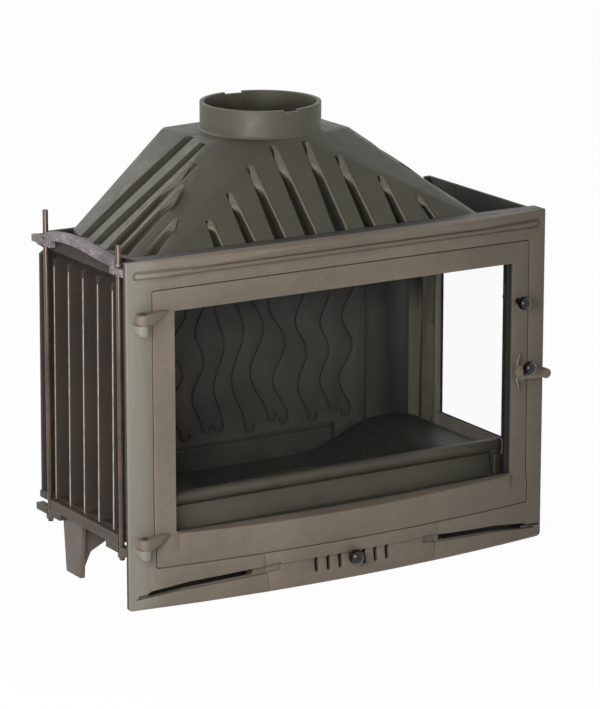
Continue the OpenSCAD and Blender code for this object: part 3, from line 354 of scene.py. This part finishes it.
# Firebox: bare grey iron, with a painted shadow darkening it near its top, painted shade in
# the cove beside the side window, and painted light making it pale again on the window's rear
# post
fireIron = castIron("bare cast iron, firebox", {
    **ironLook, "base": "#4b483e", "dark": "#3c3931", "scuffedAndLit": "#5c584e", "rough": 0.62,
    "creaseShade": 0.85, "shadeReach": 30, "paintedLights": [
        {"axis": "X", "from": 232, "fade": 40, "colour": "#1c1c19", "before": 161},
        {"axis": "X", "from": 291, "fade": 1, "colour": "#615e52", "before": 161},
        {"axis": "Z", "from": 298, "fade": 60, "colour": "#0f0f0d", "before": 161}]})
# Side window frame: the darker band above z 450 is painted shade on the upstand beside the
# hood
frameIron = castIron("painted cast iron, side window frame", {
    **ironLook, "base": "#6c665b", "dark": "#5f594f", "scuffedAndLit": "#857e70", "creaseShade": 0.5,
    "paintedLights": [{"axis": "Z", "from": 450, "fade": 6, "colour": "#35342d"}]})
bowlIron = castIron("sooty cast iron, hearth", {
    **ironLook, "base": "#33312a", "dark": "#292721", "scuffedAndLit": "#57534a", "creaseShade": 0.85})
hearthIron = castIron("bare cast iron, hearth", {
    **ironLook, "base": "#4b4739", "dark": "#3f3c30", "scuffedAndLit": "#6a6557", "creaseShade": 0.8})

# Clamps and feet: the upper clamp is fettled, so coarse and speckled, and the rest painted
clampIron = castIron("fettled cast iron, upper clamp", {
    **ironLook, "base": "#a1979a", "dark": "#6f6567", "scuffedAndLit": "#d3cbcb", "spots": 0.3,
    "grain": 0.7, "grit": 2.4, "rough": 0.6, "sand": 0.4})
footIron = castIron("painted cast iron, feet", {
    **ironLook, "base": "#766a63", "dark": "#675c56", "scuffedAndLit": "#a4988e"})
barIron = castIron("painted cast iron, lower clamp", {
    **ironLook, "base": "#4f453d", "dark": "#433a33", "scuffedAndLit": "#a3988b", "scuffAndLitAmount": 0.8})

# Steels: brown rusty rods with a soft sheen, even grey sheet, bright screws, dark cams
rodSteel = castIron("rusty drawn steel, tie rods", {
    **ironLook, "base": "#6a594b", "dark": "#54463b", "scuffedAndLit": "#b9a898", "scuffAndLitAmount": 0.4,
    "edge": 0.8, "rough": 0.3, "metal": 0.4, "sand": 0.03, "waves": 0.1, "grain": 0.08})
sheetSteel = castIron("aluminised sheet steel", {
    **ironLook, "base": "#6d6b66", "dark": "#62605b", "scuffedAndLit": "#8d8a84", "rough": 0.4,
    "sand": 0.03, "waves": 0.15, "grain": 0.04, "metal": 0.6})
screwSteel = castIron("plain turned steel", {
    **ironLook, "base": "#9a958c", "dark": "#837e76", "scuffedAndLit": "#c9c5bd", "metal": 0.8,
    "rough": 0.35, "grit": 0.8, "sand": 0.05, "edge": 0.4})
camSteel = castIron("phosphated steel", {
    **ironLook, "base": "#4b4741", "dark": "#403c37", "scuffedAndLit": "#7b766e", "metal": 0.4,
    "rough": 0.45, "edge": 0.6})

# Ceramic glass: clear, with a faint grey film of soot, and a dull black gasket tape
# folded round its margin
glass = {
    "colour": "#8c9494", "filmSize": 120, "filmCover": (0.003, 0.014),
    "rough": 0.03, "refraction": 1.52, "tape": "#1b1a18", "tapeRough": 0.85,
}


# clear gives the middle and half width of the free pane along two axes, in mm
def glassPane(name, clear):
    pane, tree = newMaterial(name)
    place = addNode(tree, "TexCoord").outputs["Object"]
    haze = spread(tree, noise(tree, place, glass["filmSize"], 4.0), 0, 1, *glass["filmCover"])
    axes = addNode(tree, "SeparateXYZ", None, {"Vector": place}).outputs
    across, up = [addNode(tree, "Math", {"operation": "COMPARE", 1: middle * mm, 2: half * mm},
                          {0: axes[axis]}).outputs[0]
                  for axis, (middle, half) in clear.items()]
    inside = calculate(tree, "MULTIPLY", across, up)
    cover = addNode(tree, "Mix", {"data_type": "FLOAT", 2: 1.0}, {0: inside, 3: haze})
    surface = addNode(tree, "BsdfPrincipled", {"IOR": glass["refraction"]}, {
        "Base Color": mixColour(tree, inside, glass["tape"], glass["colour"]),
        "Alpha": cover.outputs[0],
        "Roughness": spread(tree, inside, 0, 1, glass["tapeRough"], glass["rough"])})
    finishMaterial(tree, surface)
    return pane


doorGlass = glassPane("clear ceramic glass, door", {"X": (7, 282), "Z": (266.5, 162.5)})
sideGlass = glassPane("clear ceramic glass, side", {"Y": (-4, 83), "Z": (294, 143.5)})

# Braided glass-fibre rope and flat gasket: dull, with a fine diagonal braid
braidLook = {"size": 6, "turn": (0.6, 0.8, 0.7), "distortion": 1.5, "height": 0.5,
             "dark": "#23221f", "light": "#4a4842", "rough": 0.9}
rope, tree = newMaterial("braided glass-fibre rope")
place = addNode(tree, "TexCoord").outputs["Object"]
turned = addNode(tree, "Mapping", {"Rotation": braidLook["turn"]}, {"Vector": place})
braid = addNode(tree, "TexWave", {"Scale": 1 / (braidLook["size"] * mm), "Detail": 1.0,
                                  "Distortion": braidLook["distortion"]},
                {"Vector": turned.outputs[0]}).outputs["Fac"]
lump = addNode(tree, "Bump", {"Distance": braidLook["height"] * mm}, {"Height": braid})
surface = addNode(tree, "BsdfPrincipled", {"Roughness": braidLook["rough"]}, {
    "Base Color": mixColour(tree, braid, braidLook["dark"], braidLook["light"]),
    "Normal": lump.outputs[0]})
finishMaterial(tree, surface)

# Black enamel on turned steel: deep gloss with a slight orange peel and fine dust
enamelLook = {"peelSize": 3, "peelHeight": 0.04, "dustSize": 9, "dark": "#080807",
              "dusty": "#161512", "gloss": (0.12, 0.3), "refraction": 1.45}
enamel, tree = newMaterial("glossy black enamel")
place = addNode(tree, "TexCoord").outputs["Object"]
peel = noise(tree, place, enamelLook["peelSize"], 1.0)
dust = noise(tree, place, enamelLook["dustSize"], 4.0)
skin = addNode(tree, "Bump", {"Distance": enamelLook["peelHeight"] * mm}, {"Height": peel})
surface = addNode(tree, "BsdfPrincipled", {"IOR": enamelLook["refraction"]}, {
    "Base Color": mixColour(tree, dust, enamelLook["dark"], enamelLook["dusty"]),
    "Roughness": spread(tree, dust, 0, 1, *enamelLook["gloss"]),
    "Normal": skin.outputs[0]})
finishMaterial(tree, surface)
print("materials: made")

# Node: material, width of its rounded edges in mm (0 leaves them sharp)
finishes = {
    "facade": (frontIron, 0.8),
    "hinge_pins": (camSteel, 0),
    "door_frame": (leafIron, 0.6),
    "door_glass": (doorGlass, 0),
    "door_glass_seal": (rope, 0),
    "door_rope_seal": (rope, 0),
    "glass_clips": (camSteel, 0),
    "glass_clip_screws": (screwSteel, 0),
    "door_handle": (handleIron, 0.8),
    "handle_grip": (enamel, 0),
    "door_latch_cam": (camSteel, 0.4),
    "upper_knob": (enamel, 0.4),
    "upper_latch_cam": (camSteel, 0.4),
    "ash_drawer_front": (frontIron, 0.5),
    "ash_pan": (sheetSteel, 0),
    "air_register": (sheetSteel, 0),
    "air_knob": (enamel, 0.3),
    "ash_box": (sheetSteel, 0.5),
    "left_side_casting": (sideIron, 0.8),
    "right_side_frame": (frameIron, 0.8),
    "side_glass": (sideGlass, 0),
    "side_glass_seal": (rope, 0),
    "side_glass_clips": (camSteel, 0),
    "side_glass_screws": (screwSteel, 0.3),
    "back_casting": (fireIron, 1.0),
    "fireback_plate": (fireIron, 0.5),
    "hearth_base": (bowlIron, 1.0),
    "hearth_grate": (fireIron, 0.8),
    "log_bar": (hearthIron, 1.0),
    "ash_lip": (hearthIron, 0.8),
    "smoke_baffle": (fireIron, 1.0),
    "hood": (hoodIron, 1.2),
    "flue_collar": (collarIron, 0.8),
    "tie_rods": (rodSteel, 0.4),
    "tie_rod_nuts": (rodSteel, 0.4),
    "top_clamp_bar": (clampIron, 0.8),
    "bottom_clamp_bar": (barIron, 0.8),
    "foot_left": (footIron, 1.0),
    "foot_right": (footIron, 1.0),
}
# Angles in degrees: faces that differ less are merged, edges sharper than the bevel's are
# rounded, and shading breaks at edges sharper than the shading's
dressing = {"weld": 0.01, "flat": 0.6, "bevel": 32, "bevelSteps": 2, "shading": 46}

# Air slots at their full height in the photo. Outlines give x from the middle and z, and
# near and far are y; the tips are shallow dents where each slot runs out
slot = {
    "middle": -1, "near": -190, "far": -122, "tipFar": -131.5,
    "open": [(158, 40.5), (158, 30.5), (259, 25.5), (318, 19), (318, 28.2), (259, 35.5)],
    "tip": [(315, 28.8), (315, 19.3), (341, 17.5)],
}
# Strip that the door's window gains at its right edge
windowEdge = {"x": (285, 294), "z": (108, 429), "near": -190, "far": -125.5}


# A mirrored outline is read backwards, so that its faces still point outwards
def slotOutline(side, outline):
    return [(slot["middle"] + side * x, z) for x, z in outline][::side]


(left, right), (bottom, top) = windowEdge["x"], windowEdge["z"]
cutters = {
    "facade": [(slotOutline(side, slot[form]), slot["near"], slot[end])
               for side in (-1, 1) for form, end in (("open", "far"), ("tip", "tipFar"))],
    "door_frame": [([(left, bottom), (right, bottom), (right, top), (left, top)],
                    windowEdge["near"], windowEdge["far"])],
}


# Hidden: only the Boolean modifier uses it
def addCutter(name, outline, near, far):
    rows = [[(x, y, z) for x, z in outline] for y in (near, far)]
    cutter = addObject(name, loftMesh(name, rows))
    cutter.hide_render = True
    cutter.display_type = "WIRE"
    return cutter


for name, (material, edge) in finishes.items():
    piece = nodes[name]
    piece.data.materials.clear()
    piece.data.materials.append(material)
    weld = piece.modifiers.new("weld", "WELD")
    weld.merge_threshold = dressing["weld"] * mm
    for number, cut in enumerate(cutters.get(name, [])):
        opening = piece.modifiers.new("opening", "BOOLEAN")
        opening.solver = "EXACT"
        opening.object = addCutter(f"{name}_cut_{number}", *cut)
    if edge:
        flat = piece.modifiers.new("flatten", "DECIMATE")
        flat.decimate_type = "DISSOLVE"
        flat.angle_limit = math.radians(dressing["flat"])
        bevel = piece.modifiers.new("edges", "BEVEL")
        bevel.width = edge * mm
        bevel.segments = dressing["bevelSteps"]
        bevel.limit_method = "ANGLE"
        bevel.angle_limit = math.radians(dressing["bevel"])
        bevel.use_clamp_overlap = True
    split = piece.modifiers.new("shading", "EDGE_SPLIT")
    split.split_angle = math.radians(dressing["shading"])
    piece.data.polygons.foreach_set("use_smooth", [True] * len(piece.data.polygons))
print("CAD nodes: dressed")

# Lips of the hood's flutes: each carries a crest and, where the groove runs out at its top, a
# leaf-shaped facet, both in a lighter copy of the hood's iron as a painted highlight, beside
# the groove, whose wall is a dark copy as painted shade. Normal is the hood's wall, wall the
# way from the groove to its steep side, depths the groove's at its top and foot. A flute holds
# foot, crest point and share of the full depth. Sizes in mm; y runs from the front frame's
# face, as in the CAD source
hoodLips = {
    "front": {"normal": (0, -0.812, 0.584), "wall": (1, 0, 0), "depths": (5.3, 17.8),
              "rise": 2.2, "flutes": [
                  [(-181, 30, 500), (-187, 57, 538), 0.7],
                  [(-127, 30, 500), (-141, 79, 568), 0.9],
                  [(-77, 30, 500), (-94, 101, 599), 1],
                  [(-26, 30, 500), (-46, 117, 620), 1],
                  [(25, 30, 500), (9, 117, 620), 1],
                  [(73, 30, 500), (54, 100, 598), 1],
                  [(126, 30, 500), (112, 78, 566), 0.9],
                  [(177, 30, 500), (161, 55, 535), 0.8]]},
    "left": {"normal": (-0.552, 0, 0.834), "wall": (0, 1, 0), "depths": (6, 13),
             "rise": 1.8, "flutes": [
                 [(-322, 112, 500), (-168, 139, 602), 0.8],
                 [(-322, 80, 500), (-200, 104, 581), 0.7],
                 [(-300, 46, 500), (-228, 72, 543), 0.6]]},
}
sourceY = -134
# A lip's cross-section: x across the groove, z off the hood's wall. Shares are parts of the
# flute's length, counted from its top
lipForm = {
    "steps": 28,
    "leaf": 0.44, "leafTurn": 0.4,            # the leaf's share, and where it starts to close
    "leafWidens": 0.25, "leafX": (-0.5, -11), "leafZ": (-0.4, -3.0),
    "grooveX": -0.5, "grooveDepth": 0.95,
    "riseIn": 0.1, "riseOut": 0.08,
    "shadedShare": (0.03, 0.82),                    # part of the wall painted dark as shade, leaf and groove
    "crestX": 1.2, "crestWidth": 2.6,
    "back": [(5, -0.3), (3, -3.5)],           # from the crest, into the hood's wall
    "rootX": 2, "rootDrop": (1, -1.5),
}


def lipOutline(side, share, t):
    form = lipForm
    depth = share * between(*side["depths"], t)
    below = smooth((t / form["leaf"] - form["leafTurn"]) / (1 - form["leafTurn"]))
    wide = smooth(t / form["leafWidens"])
    lowX = between(between(*form["leafX"], wide), form["grooveX"], below)
    lowZ = between(between(*form["leafZ"], wide), -form["grooveDepth"] * depth, below)
    rise = side["rise"] * smooth(t / form["riseIn"])
    rise *= 1 - smooth((t - 1 + form["riseOut"]) / form["riseOut"])
    shadedShare = between(*form["shadedShare"], below)
    crest, (dropX, dropZ) = form["crestX"], form["rootDrop"]
    outline = [(lowX, lowZ), (between(lowX, crest, shadedShare), between(lowZ, rise, shadedShare)),
               (crest, rise), (crest + form["crestWidth"], rise)]
    outline += [(crest + x, z) for x, z in form["back"]]
    return outline + [(crest + form["rootX"], -depth), (lowX + dropX, -depth + dropZ)]


def makeLip(name, side, foot, top, share):
    normal, wall = Vector(side["normal"]), Vector(side["wall"])
    rows = []
    for i in range(lipForm["steps"] + 1):
        t = i / lipForm["steps"]
        base = Vector(top).lerp(Vector(foot), t)
        section = [base + wall * x + normal * z for x, z in lipOutline(side, share, t)]
        rows.append([(p.x, p.y + sourceY, p.z) for p in section])
    mesh = loftMesh(name, rows)
    mesh.materials.append(litCrestIron)
    mesh.materials.append(shadedGrooveIron)
    caps, across = 2, len(rows[0])
    # The wall below each crest takes the second material, the dark copy painted as shade
    for i in range(lipForm["steps"]):
        mesh.polygons[caps + i * across].material_index = 1      # the wall below the crest
    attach(addObject(name, mesh), "insert")


for sideName, side in hoodLips.items():
    for number, flute in enumerate(side["flutes"]):
        makeLip(f"hood_lip_{sideName}_{number}", side, *flute)
print("hood lips: made")

# Crescent on the door's right stile, its crest painted pale as a highlight: a bent rod in mm,
# thin at both tips, half sunk in the leaf
crescent = {"x": 306, "z": (233.5, 292), "bulge": 6.3, "y": -138.6, "radius": 1.0,
            "tipShare": 0.25, "steps": 20, "sides": 8}
rows = []
for i in range(crescent["steps"] + 1):
    t = i / crescent["steps"]
    arch = math.sin(math.pi * t)
    thick = crescent["radius"] * between(crescent["tipShare"], 1, arch)
    x = crescent["x"] - crescent["bulge"] * arch
    z = between(*crescent["z"], t)
    turns = [-2 * math.pi * j / crescent["sides"] for j in range(crescent["sides"])]
    rows.append([(x + thick * math.cos(turn), crescent["y"] + thick * math.sin(turn), z)
                 for turn in turns])
crescentMesh = loftMesh("door_crescent", rows)
crescentMesh.materials.append(highlightIron)
crescentMesh.polygons.foreach_set("use_smooth", [True] * len(crescentMesh.polygons))
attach(addObject("door_crescent", crescentMesh), "door")
print("door crescent: made")
